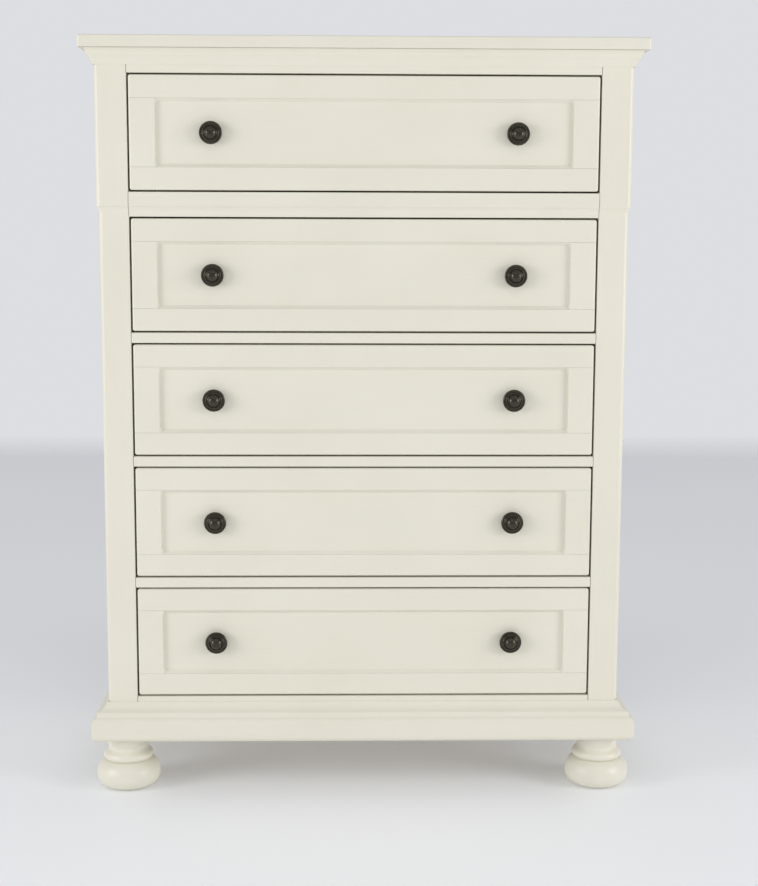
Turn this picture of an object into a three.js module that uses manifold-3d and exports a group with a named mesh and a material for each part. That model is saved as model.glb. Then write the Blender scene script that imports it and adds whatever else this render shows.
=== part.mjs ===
// Tall chest of five drawers in painted wood, on turned bun feet, with ringed bronze knobs.
// Millimetres, +Z up. The front faces -Y and +X is on the right as the chest is looked at.
// The origin is on the floor, under the centre of the chest.

import * as THREE from "three";
import { mergeVertices } from "three/addons/utils/BufferGeometryUtils.js";
import Module from "manifold-3d";

// ---- Driving dimensions ----

// Case
const TOTAL_HEIGHT = 1325;
const OPENING_WIDTH = 808;
const POST_WIDTH = 52.5;
const POST_DEPTH = 45;
const CASE_DEPTH = 429;
const FOOT_HEIGHT = 95.5;
const BASE_OVERHANG = 28;
const TOP_THICKNESS = 20;
const TOP_OVERHANG = 23;
const FIT_GAP = 0.3; // between pieces that touch
const CORNER_RADIUS = 6; // outer corner of a front post

// The upper section stands a little proud of the lower one, with a small cove between them.
const STEP_SIDE = 3.5;
const STEP_FRONT = 6;
const STEP_BOTTOM = 1030;
const STEP_TOP = 1041;

// Drawer openings, as heights above the floor, from the top drawer down
const OPENING_HEIGHT = 199;
const OPENING_BOTTOMS = [1065.3, 824, 607, 390, 173];
const DIVIDER_HEIGHT = 18;

// Mouldings
const CROWN_BOTTOM = 1277.5;
const COVE_TOP = 164;

// Drawers
const DRAWER_GAP = 2.75;
const FRONT_THICKNESS = 20;
const FRAME_RAIL = 39;
const FRAME_STILE = 43.5;
const PANEL_RECESS = 6.5;
const PANEL_BEVEL = 3;
const BOX_LENGTH = 380;
const BOX_HEIGHT = 150;
const BOX_WALL = 12;
const BOX_FLOOR = 5;
const BOX_LIFT = 14; // drawer box above the bottom of its opening

// Slides: a channel on the case and a smaller channel on the drawer box inside it
const SLIDE_THICKNESS = 12.7;
const CASE_CHANNEL_HEIGHT = 45;
const CASE_CHANNEL_DEPTH = 9.5;
const DRAWER_CHANNEL_HEIGHT = 27;
const DRAWER_CHANNEL_DEPTH = 8.5;
const SHEET_METAL = 1.3;
const CHANNEL_LIP = 2.2;

// Knobs
const KNOB_SPACING = 524;
const KNOB_RADIUS = 19.6;
const KNOB_PROJECTION = 24;

// Facets
const ARC_STEPS = 4;
const FOOT_SEGMENTS = 24;
const KNOB_SEGMENTS = 16;

// ---- Worked out from the above ----

const HALF_OPENING = OPENING_WIDTH / 2;
const HALF_CASE = HALF_OPENING + POST_WIDTH;
const LOWER_FRONT = (TOP_OVERHANG + STEP_FRONT - CASE_DEPTH) / 2;
const UPPER_FRONT = LOWER_FRONT - STEP_FRONT;
const BACK = LOWER_FRONT + CASE_DEPTH;
const TOP_UNDERSIDE = TOTAL_HEIGHT - TOP_THICKNESS;
const HALF_FRONT_WIDTH = HALF_OPENING - DRAWER_GAP;
const FRONT_HEIGHT = OPENING_HEIGHT - 2 * DRAWER_GAP;
const HALF_BOX_WIDTH = HALF_OPENING - SLIDE_THICKNESS - FIT_GAP;

// ---- Finishes ----

const FINISHES = {
  paint: { color: 0xe6e3d5, roughness: 0.42, metalness: 0 },
  rawWood: { color: 0xc9a877, roughness: 0.65, metalness: 0 },
  backBoard: { color: 0x9c7a55, roughness: 0.8, metalness: 0 },
  zinc: { color: 0xb4b8bc, roughness: 0.35, metalness: 0.9 },
  bronze: { color: 0x2a241d, roughness: 0.38, metalness: 0.85 },
};

function piece(name, finish, geometry) {
  const mesh = new THREE.Mesh(geometry, new THREE.MeshStandardMaterial(FINISHES[finish]));
  mesh.name = name;
  return mesh;
}

// ---- Solids ----

const wasm = await Module();
wasm.setup();

// A closed geometry as a solid, turned round first if its faces point inwards.
function solid(geometry) {
  const bare = new THREE.BufferGeometry();
  bare.setIndex(geometry.index);
  bare.setAttribute("position", geometry.getAttribute("position"));
  const merged = mergeVertices(bare, 1e-3);
  const corners = merged.index.array;
  const triangles = [];
  for (let i = 0; i < corners.length; i += 3) {
    const [a, b, c] = corners.slice(i, i + 3);
    if (a !== b && b !== c && c !== a) triangles.push(a, b, c);
  }
  const vertProperties = new Float32Array(merged.getAttribute("position").array);
  const build = (order) =>
    new wasm.Manifold(
      new wasm.Mesh({ numProp: 3, vertProperties, triVerts: new Uint32Array(order) }),
    );
  const made = build(triangles);
  return made.volume() > 0 ? made : build(triangles.reverse());
}

function geometryOf(manifold) {
  const mesh = manifold.getMesh();
  const geometry = new THREE.BufferGeometry();
  geometry.setAttribute("position", new THREE.BufferAttribute(mesh.vertProperties, 3));
  geometry.setIndex(new THREE.BufferAttribute(mesh.triVerts, 1));
  geometry.computeVertexNormals();
  return geometry;
}

// A rectangular block between two corners.
function block(low, high) {
  const size = high.map((value, axis) => value - low[axis]);
  const geometry = new THREE.BoxGeometry(...size);
  geometry.translate(...low.map((value, axis) => value + size[axis] / 2));
  return geometry;
}

// An outline carried through a row of stations. place(u, v, station) puts each of its
// points in space, so one helper makes stepped posts, tapered pockets and mitred mouldings.
function carried(outline, stations, place) {
  const steps = stations.length - 1;
  const options = { depth: steps, steps, bevelEnabled: false, curveSegments: ARC_STEPS };
  const geometry = new THREE.ExtrudeGeometry(outline, options);
  const position = geometry.getAttribute("position");
  for (let i = 0; i < position.count; i += 1) {
    const station = stations[Math.round(position.getZ(i))];
    position.setXYZ(i, ...place(position.getX(i), position.getY(i), station));
  }
  return geometryOf(solid(geometry));
}

// A straight run along X of an outline drawn as (y, z).
function runAlongX(outline, halfLength) {
  return carried(outline, [-halfLength, halfLength], (y, z, x) => [x, y, z]);
}

// A turned piece about +Z, from points written as [radius, height].
function turned(points, segments) {
  const profile = points.map(([radius, height]) => new THREE.Vector2(radius, height));
  const geometry = new THREE.LatheGeometry(profile, segments);
  geometry.rotateX(Math.PI / 2);
  return geometryOf(solid(geometry));
}

function outlineOf(points) {
  return new THREE.Shape(points.map(([u, v]) => new THREE.Vector2(u, v)));
}

function roundedRectangle(halfWidth, halfHeight, radius) {
  const shape = new THREE.Shape();
  shape.absarc(halfWidth - radius, halfHeight - radius, radius, 0, Math.PI / 2);
  shape.absarc(radius - halfWidth, halfHeight - radius, radius, Math.PI / 2, Math.PI);
  shape.absarc(radius - halfWidth, radius - halfHeight, radius, Math.PI, 1.5 * Math.PI);
  shape.absarc(halfWidth - radius, radius - halfHeight, radius, 1.5 * Math.PI, 2 * Math.PI);
  return shape;
}

// A rounded rectangle whose edge is drawn in by a given inset at each station.
function easedBoard(halfWidth, halfHeight, radius, stations, place) {
  const outline = roundedRectangle(halfWidth, halfHeight, radius);
  return carried(outline, stations, (u, v, { inset, at }) =>
    place(u - Math.sign(u) * inset, v - Math.sign(v) * inset, at),
  );
}

// ---- Top and mouldings ----

function topPanel() {
  const front = UPPER_FRONT - TOP_OVERHANG;
  const middle = (front + BACK) / 2;
  const stations = [
    { at: TOP_UNDERSIDE, inset: 1.5 },
    { at: TOP_UNDERSIDE + 2, inset: 0 },
    { at: TOTAL_HEIGHT - 3, inset: 0 },
    { at: TOTAL_HEIGHT - 1, inset: 0.8 },
    { at: TOTAL_HEIGHT, inset: 2.5 },
  ];
  const halfWidth = HALF_CASE + STEP_SIDE + TOP_OVERHANG;
  const place = (x, y, z) => [x, y + middle, z];
  return easedBoard(halfWidth, (BACK - front) / 2, 5, stations, place);
}

// A moulding that wraps the front and both sides, mitred at the two front corners.
// Its outline is drawn as (distance out from the case, height).
function wrappedMoulding(outline, halfWidth, front) {
  const x = halfWidth + FIT_GAP;
  const y = front - FIT_GAP;
  const corners = [
    { x: -x, y: BACK, outX: -1, outY: 0 },
    { x: -x, y, outX: -1, outY: -1 },
    { x, y, outX: 1, outY: -1 },
    { x, y: BACK, outX: 1, outY: 0 },
  ];
  return carried(outline, corners, (out, height, corner) => [
    corner.x + corner.outX * out,
    corner.y + corner.outY * out,
    height,
  ]);
}

function crownMoulding() {
  const top = TOP_UNDERSIDE - FIT_GAP;
  const shape = new THREE.Shape();
  shape.moveTo(0, CROWN_BOTTOM);
  shape.lineTo(1.5, CROWN_BOTTOM);
  shape.quadraticCurveTo(4, CROWN_BOTTOM + 9.5, 9, CROWN_BOTTOM + 15.5);
  shape.lineTo(10, CROWN_BOTTOM + 16);
  shape.lineTo(13.5, top);
  shape.lineTo(0, top);
  return wrappedMoulding(shape, HALF_CASE + STEP_SIDE, UPPER_FRONT);
}

function baseMoulding() {
  const bottom = FOOT_HEIGHT;
  const face = BASE_OVERHANG - FIT_GAP;
  const ledge = bottom + 44;
  const coveFoot = bottom + 51.5;
  const shape = new THREE.Shape();
  shape.moveTo(0, bottom);
  shape.lineTo(BASE_OVERHANG - 10, bottom);
  shape.quadraticCurveTo(face, bottom + 1.5, face, bottom + 12);
  shape.lineTo(face, bottom + 29);
  shape.quadraticCurveTo(face, ledge - 3.5, BASE_OVERHANG - 8.5, ledge);
  shape.lineTo(BASE_OVERHANG - 9.2, coveFoot);
  shape.quadraticCurveTo(6.5, coveFoot + 4, 4, COVE_TOP - 1);
  shape.lineTo(3, COVE_TOP);
  shape.lineTo(0, COVE_TOP);
  return wrappedMoulding(shape, HALF_CASE, LOWER_FRONT);
}

// ---- Posts, rails and panels ----

// How far the face of the case has come out at a height, as a share of the full step.
const STEP_COURSE = [
  { z: STEP_BOTTOM, share: 0 },
  { z: STEP_BOTTOM + 4, share: 0.18 },
  { z: STEP_BOTTOM + 8, share: 0.55 },
  { z: STEP_TOP, share: 1 },
];

// A front corner post in one length, stepping out and forward at the waist.
function frontPost(side) {
  const shape = new THREE.Shape();
  shape.moveTo(0, 0);
  shape.lineTo(POST_WIDTH - CORNER_RADIUS, 0);
  shape.absarc(POST_WIDTH - CORNER_RADIUS, CORNER_RADIUS, CORNER_RADIUS, -Math.PI / 2, 0);
  shape.lineTo(POST_WIDTH, POST_DEPTH);
  shape.lineTo(0, POST_DEPTH);
  const stations = [
    { z: FOOT_HEIGHT, share: 0 },
    ...STEP_COURSE,
    { z: TOP_UNDERSIDE - FIT_GAP, share: 1 },
  ];
  return carried(shape, stations, (out, depth, { z, share }) => {
    const x = HALF_OPENING + (out * (POST_WIDTH + STEP_SIDE * share)) / POST_WIDTH;
    const forward = (STEP_FRONT * share * (POST_DEPTH - depth)) / POST_DEPTH;
    return [side * x, LOWER_FRONT + depth - forward, z];
  });
}

function rearPost(side) {
  const shape = outlineOf([
    [0, 0],
    [POST_WIDTH, 0],
    [POST_WIDTH, POST_DEPTH],
    [0, POST_DEPTH],
  ]);
  const stations = [
    { z: FOOT_HEIGHT, share: 0 },
    ...STEP_COURSE,
    { z: TOP_UNDERSIDE - FIT_GAP, share: 1 },
  ];
  return carried(shape, stations, (out, depth, { z, share }) => {
    const x = HALF_OPENING + (out * (POST_WIDTH + STEP_SIDE * share)) / POST_WIDTH;
    return [side * x, BACK - POST_DEPTH + depth, z];
  });
}

// The side of the case between its posts: three rails and two recessed panels.
function sidePanel(side) {
  const inner = -22;
  const recess = -8;
  const slope = 6;
  const bottomRail = 226;
  const waistLow = 990;
  const waistHigh = 1088;
  const topRail = 1232;
  const points = [
    [inner, FOOT_HEIGHT],
    [0, FOOT_HEIGHT],
    [0, bottomRail],
    [recess, bottomRail + slope],
    [recess, waistLow - slope],
    [0, waistLow],
    ...STEP_COURSE.map(({ z, share }) => [STEP_SIDE * share, z]),
    [STEP_SIDE, waistHigh],
    [STEP_SIDE + recess, waistHigh + slope],
    [STEP_SIDE + recess, topRail - slope],
    [STEP_SIDE, topRail],
    [STEP_SIDE, TOP_UNDERSIDE - FIT_GAP],
    [inner, TOP_UNDERSIDE - FIT_GAP],
  ];
  const ends = [LOWER_FRONT + POST_DEPTH + FIT_GAP, BACK - POST_DEPTH - FIT_GAP];
  return carried(outlineOf(points), ends, (out, z, y) => [side * (HALF_CASE + out), y, z]);
}

const HALF_RAIL = HALF_OPENING - FIT_GAP;

function topRail() {
  const bottom = OPENING_BOTTOMS[0] + OPENING_HEIGHT;
  return block(
    [-HALF_RAIL, UPPER_FRONT, bottom],
    [HALF_RAIL, UPPER_FRONT + POST_DEPTH, TOP_UNDERSIDE - FIT_GAP],
  );
}

function waistRail() {
  const bottom = OPENING_BOTTOMS[1] + OPENING_HEIGHT;
  const points = [
    [LOWER_FRONT + POST_DEPTH, bottom],
    [LOWER_FRONT + POST_DEPTH, OPENING_BOTTOMS[0]],
    [UPPER_FRONT, OPENING_BOTTOMS[0]],
    ...STEP_COURSE.map(({ z, share }) => [LOWER_FRONT - STEP_FRONT * share, z]).reverse(),
    [LOWER_FRONT, bottom],
  ];
  return runAlongX(outlineOf(points), HALF_RAIL);
}

function dividerRail(openingAbove) {
  const top = OPENING_BOTTOMS[openingAbove];
  return block(
    [-HALF_RAIL, LOWER_FRONT, top - DIVIDER_HEIGHT],
    [HALF_RAIL, LOWER_FRONT + POST_DEPTH, top],
  );
}

// The board that closes the case underneath, with the thick front rail that it is joined to.
function bottomBoard() {
  const railTop = OPENING_BOTTOMS[OPENING_BOTTOMS.length - 1];
  const railBottom = 118;
  const boardTop = 160;
  const boardBottom = 148;
  const railBack = LOWER_FRONT + 22;
  const points = [
    [LOWER_FRONT, railBottom],
    [railBack, railBottom],
    [railBack, boardBottom],
    [BACK - 15, boardBottom],
    [BACK - 15, boardTop],
    [railBack, boardTop],
    [railBack, railTop],
    [LOWER_FRONT, railTop],
  ];
  return runAlongX(outlineOf(points), HALF_RAIL);
}

function backPanel() {
  const recess = 6;
  const thickness = 6;
  return block(
    [-HALF_RAIL, BACK - recess - thickness, 136],
    [HALF_RAIL, BACK - recess, TOP_UNDERSIDE - FIT_GAP],
  );
}

// ---- Feet ----

function foot() {
  const collarTop = FOOT_HEIGHT - FIT_GAP;
  const profile = [
    [0, 0],
    [29, 0],
    [42, 3],
    [51, 9],
    [56, 17],
    [57.2, 26],
    [56, 35],
    [51.5, 44],
    [45.5, 49.8],
    [40, 52],
    [43, 54.5],
    [43.8, 59],
    [41.5, 64],
    [37, 67.5],
    [33.5, 71],
    [33.5, 77],
    [37.5, 80.5],
    [37.5, collarTop],
    [0, collarTop],
  ];
  return turned(profile, FOOT_SEGMENTS);
}

// ---- Drawers, drawn about the face and the bottom of their own opening ----

function drawerFront() {
  const middle = OPENING_HEIGHT / 2;
  const upright = (x, z, y) => [x, y, z + middle];
  const faceStations = [
    { at: 0, inset: 2.8 },
    { at: 0.8, inset: 0.8 },
    { at: 2.8, inset: 0 },
    { at: FRONT_THICKNESS, inset: 0 },
  ];
  const board = easedBoard(HALF_FRONT_WIDTH, FRONT_HEIGHT / 2, 4, faceStations, upright);
  const open = 1; // the pocket's cutter starts this far in front of the face
  const pocketStations = [
    { at: -open, inset: (-open * PANEL_BEVEL) / PANEL_RECESS },
    { at: PANEL_RECESS, inset: PANEL_BEVEL },
  ];
  const pocket = easedBoard(
    HALF_FRONT_WIDTH - FRAME_STILE,
    FRONT_HEIGHT / 2 - FRAME_RAIL,
    5,
    pocketStations,
    upright,
  );
  return geometryOf(solid(board).subtract(solid(pocket)));
}

// Sides, back, inner front and bottom of the box, open at the top.
function drawerBox() {
  const front = FRONT_THICKNESS + FIT_GAP;
  const back = front + BOX_LENGTH;
  const top = BOX_LIFT + BOX_HEIGHT;
  const floorUnderside = BOX_LIFT + BOX_WALL;
  const halfInside = HALF_BOX_WIDTH - BOX_WALL;
  const insideFront = front + BOX_WALL;
  const insideBack = back - BOX_WALL;
  const outside = block([-HALF_BOX_WIDTH, front, BOX_LIFT], [HALF_BOX_WIDTH, back, top]);
  const inside = block(
    [-halfInside, insideFront, floorUnderside + BOX_FLOOR],
    [halfInside, insideBack, top + 1],
  );
  const underneath = block(
    [-halfInside, insideFront, BOX_LIFT - 1],
    [halfInside, insideBack, floorUnderside],
  );
  return geometryOf(solid(outside).subtract(solid(inside)).subtract(solid(underneath)));
}

// A knob on an axis along -Y: small base, neck, wide ringed rim and a domed button.
function knob() {
  const profile = [
    [0, 0],
    [9, 0],
    [9, 2],
    [6.2, 4],
    [6.2, 7],
    [11, 9],
    [KNOB_RADIUS - 1, 10.5],
    [KNOB_RADIUS, 12],
    [KNOB_RADIUS - 1.2, 13.8],
    [14.2, 12.8],
    [13.6, 15.4],
    [11.2, 15.4],
    [10, 17.5],
    [9.2, 20.5],
    [6, 23.2],
    [0, KNOB_PROJECTION],
  ];
  const geometry = turned(profile, KNOB_SEGMENTS);
  geometry.rotateX(Math.PI / 2);
  return geometry;
}

// ---- Slides, with their middle at height 0 and their length along Y ----

// A channel whose web stands at x = 0 and whose lipped flanges reach towards -X.
function channel(height, depth, lip) {
  const half = height / 2;
  const inner = half - SHEET_METAL;
  const points = [
    [0, -half],
    [0, half],
    [-depth, half],
    [-depth, inner - lip],
    [SHEET_METAL - depth, inner - lip],
    [SHEET_METAL - depth, inner],
    [-SHEET_METAL, inner],
    [-SHEET_METAL, -inner],
    [SHEET_METAL - depth, -inner],
    [SHEET_METAL - depth, lip - inner],
    [-depth, lip - inner],
    [-depth, -half],
  ];
  return outlineOf(points);
}

function caseSlide(side) {
  const outline = channel(CASE_CHANNEL_HEIGHT, CASE_CHANNEL_DEPTH, CHANNEL_LIP);
  const web = HALF_OPENING - FIT_GAP;
  const ends = [FRONT_THICKNESS + 2, FRONT_THICKNESS + 2 + BOX_LENGTH];
  return carried(outline, ends, (out, z, y) => [side * (web + out), y, z]);
}

function drawerSlide(side) {
  const outline = channel(DRAWER_CHANNEL_HEIGHT, DRAWER_CHANNEL_DEPTH, 0);
  const web = HALF_BOX_WIDTH + FIT_GAP;
  const ends = [FRONT_THICKNESS + FIT_GAP, FRONT_THICKNESS + FIT_GAP + BOX_LENGTH];
  return carried(outline, ends, (out, z, y) => [side * (web - out), y, z]);
}

// ---- Assembly ----

const chest = new THREE.Group();

const SIDES = [
  ["left", -1],
  ["right", 1],
];

chest.add(piece("top_panel", "paint", topPanel()));
chest.add(piece("crown_moulding", "paint", crownMoulding()));
chest.add(piece("base_moulding", "paint", baseMoulding()));
chest.add(piece("top_rail", "paint", topRail()));
chest.add(piece("waist_rail", "paint", waistRail()));
for (const opening of [1, 2, 3]) {
  chest.add(piece(`divider_rail_${opening}`, "paint", dividerRail(opening)));
}
chest.add(piece("bottom_board", "paint", bottomBoard()));
chest.add(piece("back_panel", "backBoard", backPanel()));

const footInset = 30.5; // from the outer faces of the case to the axis of a front foot
const rearFootInset = 59; // a rear foot stays clear of the wall behind the chest
for (const [word, side] of SIDES) {
  chest.add(piece(`post_front_${word}`, "paint", frontPost(side)));
  chest.add(piece(`post_rear_${word}`, "paint", rearPost(side)));
  chest.add(piece(`side_panel_${word}`, "paint", sidePanel(side)));
  const rows = [
    ["front", LOWER_FRONT + footInset],
    ["rear", BACK - rearFootInset],
  ];
  for (const [row, y] of rows) {
    const turnedFoot = piece(`foot_${row}_${word}`, "paint", foot());
    turnedFoot.position.set(side * (HALF_CASE - footInset), y, 0);
    chest.add(turnedFoot);
  }
}

OPENING_BOTTOMS.forEach((bottom, index) => {
  const number = index + 1;
  const face = index === 0 ? UPPER_FRONT : LOWER_FRONT;
  const slideHeight = BOX_LIFT + BOX_HEIGHT / 2;
  const drawer = new THREE.Group();
  drawer.position.set(0, face, bottom);
  drawer.add(piece(`drawer_${number}_front`, "paint", drawerFront()));
  drawer.add(piece(`drawer_${number}_box`, "rawWood", drawerBox()));
  for (const [word, side] of SIDES) {
    const pull = piece(`drawer_${number}_knob_${word}`, "bronze", knob());
    pull.position.set((side * KNOB_SPACING) / 2, PANEL_RECESS - FIT_GAP, OPENING_HEIGHT / 2);
    const runner = piece(`drawer_${number}_slide_${word}`, "zinc", drawerSlide(side));
    runner.position.z = slideHeight;
    const holder = piece(`case_slide_${number}_${word}`, "zinc", caseSlide(side));
    holder.position.z = slideHeight;
    drawer.add(pull, runner, holder);
  }
  chest.add(drawer);
});

export default chest;
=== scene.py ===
# %% [markdown]
# # A tall painted chest of five drawers
# The chest stands on four turned bun feet. Five framed drawers sit between two corner posts, and
# every drawer has two ringed bronze knobs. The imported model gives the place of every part, and
# this lesson adds what a cabinet maker would see: rounded arrises, joints, mitres, brush marks,
# grain and worn metal. The front faces -Y and the floor is at zero. Blender works in metres, so the
# outlines, which are easier to read in millimetres, are multiplied by MM where they are built.

# %% Load the frame
import math
import bmesh
import bpy
from mathutils import Matrix, Vector


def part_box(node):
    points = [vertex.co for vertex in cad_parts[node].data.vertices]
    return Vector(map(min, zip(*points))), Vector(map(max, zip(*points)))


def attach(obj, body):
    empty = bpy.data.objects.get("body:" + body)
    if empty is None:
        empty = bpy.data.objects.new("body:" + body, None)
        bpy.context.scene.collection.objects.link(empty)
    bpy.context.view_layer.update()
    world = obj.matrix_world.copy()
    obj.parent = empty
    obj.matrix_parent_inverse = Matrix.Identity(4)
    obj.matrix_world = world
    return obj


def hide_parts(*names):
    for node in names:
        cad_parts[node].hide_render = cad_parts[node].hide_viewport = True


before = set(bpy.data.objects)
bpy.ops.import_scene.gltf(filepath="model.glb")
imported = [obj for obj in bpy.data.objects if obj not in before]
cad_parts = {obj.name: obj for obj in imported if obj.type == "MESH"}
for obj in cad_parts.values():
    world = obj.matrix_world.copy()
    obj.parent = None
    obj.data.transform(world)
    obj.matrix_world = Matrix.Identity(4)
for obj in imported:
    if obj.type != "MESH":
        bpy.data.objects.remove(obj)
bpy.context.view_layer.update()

MM = 0.001
SIDES = {"left": -1, "right": 1}
DRAWERS = range(1, 6)
WELD = 1e-7
SEAM_WELD = 1e-6
LEVEL_SLACK = 1e-6


# %% [markdown]
# ## Finishes
# The paint on the real chest is a satin antique white, laid on with a brush. It could be one flat
# colour, but a painted board always shows a little: fine streaks that run with the board, a faint
# cloudiness, and a satin gloss that lights up every rounded arris. So the paint is made once, and
# is given the direction of the board that it covers.

# %% A few helpers for wiring a finish
def linear(*parts):
    """A screen colour, 0 to 255, as the light values that a shader works in."""
    return [((p / 255 + 0.055) / 1.055) ** 2.4 for p in parts] + [1]


def new_finish(name):
    finish = bpy.data.materials.new(name)
    finish.use_nodes = True
    nodes = finish.node_tree.nodes
    return finish, nodes, finish.node_tree.links, nodes["Principled BSDF"]


def streaks(nodes, links, stretch, detail=4.0):
    """A noise on the object's own coordinates, stretched by a different amount each way."""
    place = nodes.new("ShaderNodeTexCoord")
    mapping = nodes.new("ShaderNodeMapping")
    mapping.inputs["Scale"].default_value = stretch
    noise = nodes.new("ShaderNodeTexNoise")
    noise.inputs["Scale"].default_value = 1.0
    noise.inputs["Detail"].default_value = detail
    links.new(place.outputs["Object"], mapping.inputs["Vector"])
    links.new(mapping.outputs["Vector"], noise.inputs["Vector"])
    return noise.outputs["Fac"]


def graded(nodes, links, value, stops):
    """A colour ramp fed by a value; stops are pairs of place and colour."""
    ramp = nodes.new("ShaderNodeValToRGB")
    while len(ramp.color_ramp.elements) < len(stops):
        ramp.color_ramp.elements.new(0.5)
    for element, (at, colour) in zip(ramp.color_ramp.elements, stops):
        element.position = at
        element.color = colour
    links.new(value, ramp.inputs["Fac"])
    return ramp.outputs["Color"]


NOISE_LOW, NOISE_HIGH = 0.3, 0.7


def spread(nodes, links, value, low, high):
    """Maps the usual range of a noise onto low to high."""
    span = nodes.new("ShaderNodeMapRange")
    span.inputs["From Min"].default_value = NOISE_LOW
    span.inputs["From Max"].default_value = NOISE_HIGH
    span.inputs["To Min"].default_value = low
    span.inputs["To Max"].default_value = high
    links.new(value, span.inputs["Value"])
    return span.outputs["Result"]


def mixed(nodes, links, factor, first, second):
    """Blends two colours by a factor, which is a socket or a number."""
    mix = nodes.new("ShaderNodeMix")
    mix.data_type = "RGBA"
    colours = [socket for socket in mix.inputs if socket.type == "RGBA"]
    for source, socket in ((factor, mix.inputs[0]), (first, colours[0]), (second, colours[1])):
        if isinstance(source, bpy.types.NodeSocket):
            links.new(source, socket)
        else:
            socket.default_value = source
    return [socket for socket in mix.outputs if socket.type == "RGBA"][0]


def raised(nodes, links, height, strength, depth, under=None):
    """A bump, which may sit on another bump."""
    bump = nodes.new("ShaderNodeBump")
    bump.inputs["Strength"].default_value = strength
    bump.inputs["Distance"].default_value = depth
    links.new(height, bump.inputs["Height"])
    if under is not None:
        links.new(under, bump.inputs["Normal"])
    return bump.outputs["Normal"]


def worn_edges(nodes, links, start, end):
    """0 on flats and hollows, 1 on the sharpest arrises."""
    shape = nodes.new("ShaderNodeNewGeometry")
    span = nodes.new("ShaderNodeMapRange")
    span.inputs["From Min"].default_value = start
    span.inputs["From Max"].default_value = end
    links.new(shape.outputs["Pointiness"], span.inputs["Value"])
    return span.outputs["Result"]


print("finish helpers ready")


# %% Satin paint, brushed along x, y or z
PAINT_SHADE = linear(229, 225, 208)
PAINT_CLOUD = linear(232, 228, 212)
PAINT_THIN = linear(240, 237, 223)
BRUSH_LENGTHWAYS, BRUSH_ACROSS = 9.0, 420.0
CLOUD_SCALE, PEEL_SCALE = 5.0, 1100.0
THIN_SHARE = 0.14
PAINT_SMOOTH, PAINT_ROUGH = 0.32, 0.41


def along(axis, lengthways, across):
    stretch = [across] * 3
    stretch["xyz".index(axis)] = lengthways
    return stretch


def brushed_paint(axis):
    finish, nodes, links, shader = new_finish(f"satin paint brushed along {axis}")
    cloud = streaks(nodes, links, (CLOUD_SCALE,) * 3, detail=3.0)
    brush = streaks(nodes, links, along(axis, BRUSH_LENGTHWAYS, BRUSH_ACROSS))
    peel = streaks(nodes, links, (PEEL_SCALE,) * 3, detail=2.0)
    body = graded(nodes, links, cloud, [(0.35, PAINT_SHADE), (0.65, PAINT_CLOUD)])
    tone = spread(nodes, links, brush, 0.0, THIN_SHARE)
    links.new(mixed(nodes, links, tone, body, PAINT_THIN), shader.inputs["Base Color"])
    gloss = spread(nodes, links, brush, PAINT_SMOOTH, PAINT_ROUGH)
    links.new(gloss, shader.inputs["Roughness"])
    under = raised(nodes, links, brush, 0.22, 0.0002)
    links.new(raised(nodes, links, peel, 0.05, 0.0001, under), shader.inputs["Normal"])
    return finish


PAINT = {axis: brushed_paint(axis) for axis in "xyz"}
print("paint", [finish.name for finish in PAINT.values()])


# %% [markdown]
# ### Bare wood and boards
# Only the outside is painted. The drawer boxes are pale hardwood with a satin finish, so they
# need rings and fibres that run along each board. A noise stretched a long way along the board
# reads as fibre, and a gently distorted wave reads as growth rings. The back is thin pressed
# board, which has flecks and no grain.

# %% Drawer wood and carcass board
RING_LENGTHWAYS, RING_ACROSS, RING_WANDER = 1.6, 26.0, 5.0
FIBRE_LENGTHWAYS, FIBRE_ACROSS, FIBRE_SHARE = 14.0, 900.0, 0.45


def grained_wood(name, axis, pale, dark, gloss):
    finish, nodes, links, shader = new_finish(name)
    place = nodes.new("ShaderNodeTexCoord")
    mapping = nodes.new("ShaderNodeMapping")
    mapping.inputs["Scale"].default_value = along(axis, RING_LENGTHWAYS, RING_ACROSS)
    wave = nodes.new("ShaderNodeTexWave")
    wave.inputs["Scale"].default_value = 1.0
    wave.inputs["Distortion"].default_value = RING_WANDER
    wave.inputs["Detail"].default_value = 3.0
    links.new(place.outputs["Object"], mapping.inputs["Vector"])
    links.new(mapping.outputs["Vector"], wave.inputs["Vector"])
    fibre = streaks(nodes, links, along(axis, FIBRE_LENGTHWAYS, FIBRE_ACROSS), detail=5.0)
    rings = graded(nodes, links, wave.outputs["Fac"], [(0.15, dark), (0.55, pale)])
    shaded = mixed(nodes, links, spread(nodes, links, fibre, 0.0, FIBRE_SHARE), rings, dark)
    links.new(shaded, shader.inputs["Base Color"])
    links.new(spread(nodes, links, fibre, gloss - 0.06, gloss + 0.1), shader.inputs["Roughness"])
    links.new(raised(nodes, links, fibre, 0.25, 0.0002), shader.inputs["Normal"])
    return finish


WOOD_PALE, WOOD_DARK = linear(212, 185, 146), linear(201, 170, 129)
DRAWER_WOOD = {
    axis: grained_wood(f"drawer wood along {axis}", axis, WOOD_PALE, WOOD_DARK, 0.5)
    for axis in "xy"
}
CASE_BOARD = grained_wood("carcass board", "x", linear(218, 210, 192), linear(200, 188, 165), 0.6)
print("woods", [wood.name for wood in (*DRAWER_WOOD.values(), CASE_BOARD)])


# %% Pressed board for the back
BACK_SHADE, BACK_LIGHT = linear(146, 114, 80), linear(162, 128, 92)
BACK_FLECK = linear(118, 88, 60)
FLECK_SCALE, FLECK_SHARE, BACK_CLOUD_SCALE = 260.0, 0.5, 4.0


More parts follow.
